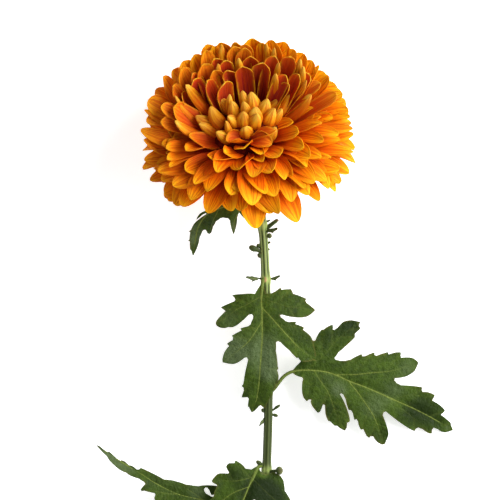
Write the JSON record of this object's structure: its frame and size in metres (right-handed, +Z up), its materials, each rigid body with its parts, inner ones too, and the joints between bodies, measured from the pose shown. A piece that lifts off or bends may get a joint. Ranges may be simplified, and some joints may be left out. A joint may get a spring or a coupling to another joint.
{
  "type": "chrysanthemum cut flower",
  "caption": "Large-headed orange chrysanthemum on a cut stem with lobed, toothed leaves, laid on a flat surface.",
  "frame": {"origin": "middle of the flower's footprint, on the surface that it lies on", "axes": "+Y along the stem towards the bloom, +Z up from the surface, +X to the right seen from above with the bloom at the top"},
  "size_m": [0.2056, 0.322, 0.0884],
  "materials": {
    "florets": "soft satin, dark red-brown in the depths, golden at the tips and on the backs",
    "bracts": "matt green with paler, papery edges",
    "stem": "matt green with pale and dark ridges and a fine down",
    "leaf": "dark green, faintly shiny, with paler veins"
  },
  "bodies": {
    "root": {"bloom": "florets", "bract_cup": "bracts", "stem": "stem", "leaf_under_bloom": "leaf", "leaf_centre": "leaf", "leaf_right": "leaf", "leaf_low_centre": "leaf", "leaf_low_left": "leaf"}
  },
  "joints": []
}
